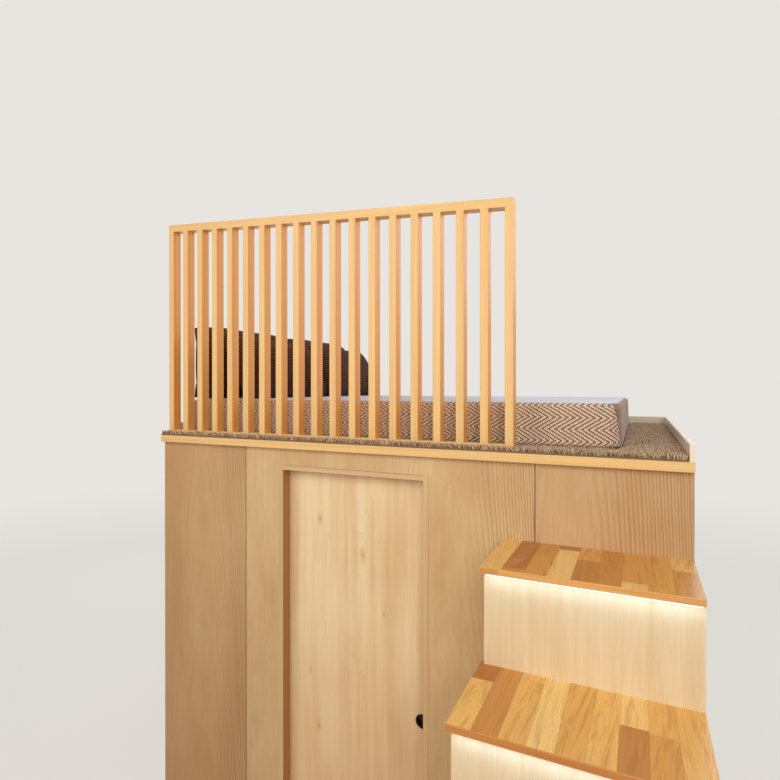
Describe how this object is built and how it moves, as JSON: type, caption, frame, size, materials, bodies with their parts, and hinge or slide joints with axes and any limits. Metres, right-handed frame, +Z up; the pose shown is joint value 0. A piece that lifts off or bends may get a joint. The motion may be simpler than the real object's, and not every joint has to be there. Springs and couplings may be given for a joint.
{
  "type": "sleeping loft unit with a sliding door, slatted screen and box stair",
  "caption": "Tiny-house sleeping loft: plywood partition with a sliding door, carpeted deck with slatted screen and bed, and a lit box stair.",
  "frame": {"origin": "middle of the whole unit's footprint, on the floor", "axes": "+X to the right seen from the stair, +Y back from the stair towards the rear wall, +Z up"},
  "size_m": [2.22, 3.526, 3.05],
  "materials": {
    "plywood": "matt lacquered plywood with a brushed vertical grain",
    "lining_wood": "matt lacquered timber",
    "wall_plywood": "matt lacquered plywood",
    "door_veneer": "pale maple-like veneer, satin",
    "black_metal": "matt black",
    "steel": "zinc plated",
    "track_aluminium": "satin anodised",
    "framing_timber": "planed softwood",
    "deck_board": "raw panel",
    "pale_timber": "satin lacquered pale timber",
    "carpet_pile": "long grey-brown pile",
    "cream_paint": "cream paint, satin",
    "mattress_cover": "plain pale top and ends, woven cream and brown chevron front",
    "pillow_cover": "dark brown with fine pale stripes",
    "stave_wood": "oiled staves in mixed honey and brown tones",
    "riser_board": "pale vertical grain, satin",
    "light_lens": "lit diffuser, warm white"
  },
  "bodies": {
    "loft": {"partition_left": "plywood", "partition_door_left": "plywood", "partition_door_head": "plywood", "partition_door_right": "plywood", "partition_right": "plywood", "door_lining_left": "lining_wood", "door_lining_right": "lining_wood", "door_lining_head": "lining_wood", "door_track": "track_aluminium", "door_guide": "steel", "side_wall_left": "wall_plywood", "side_wall_right": "wall_plywood", "rear_wall": "wall_plywood", "wall_ledgers": "framing_timber", "joists": "framing_timber", "deck_board": "deck_board", "edge_board": "pale_timber", "carpet": "carpet_pile", "skirting_sides": "cream_paint", "skirting_rear": "cream_paint", "screen_bottom_rail": "pale_timber", "screen_posts": "pale_timber", "screen_slats": "pale_timber", "screen_top_rail": "pale_timber", "mattress": "mattress_cover", "pillows_back": "pillow_cover", "pillow_front": "pillow_cover", "pillow_rear": "pillow_cover", "tread_1": "stave_wood", "tread_2": "stave_wood", "tread_3": "stave_wood", "tread_4": "stave_wood", "tread_5": "stave_wood", "tread_6": "stave_wood", "riser_1": "riser_board", "riser_2": "riser_board", "riser_3": "riser_board", "riser_4": "riser_board", "riser_5": "riser_board", "riser_6": "riser_board", "stair_side_left": "riser_board", "stair_side_right": "riser_board", "light_strips": "light_lens"},
    "door": {"door_leaf": "door_veneer", "door_pull": "black_metal", "door_hangers": "steel"}
  },
  "joints": [
    {"name": "door_slide", "type": "slide", "parent": "loft", "child": "door", "axis": [-1, 0, 0], "range_m": [0, 0.58]}
  ]
}
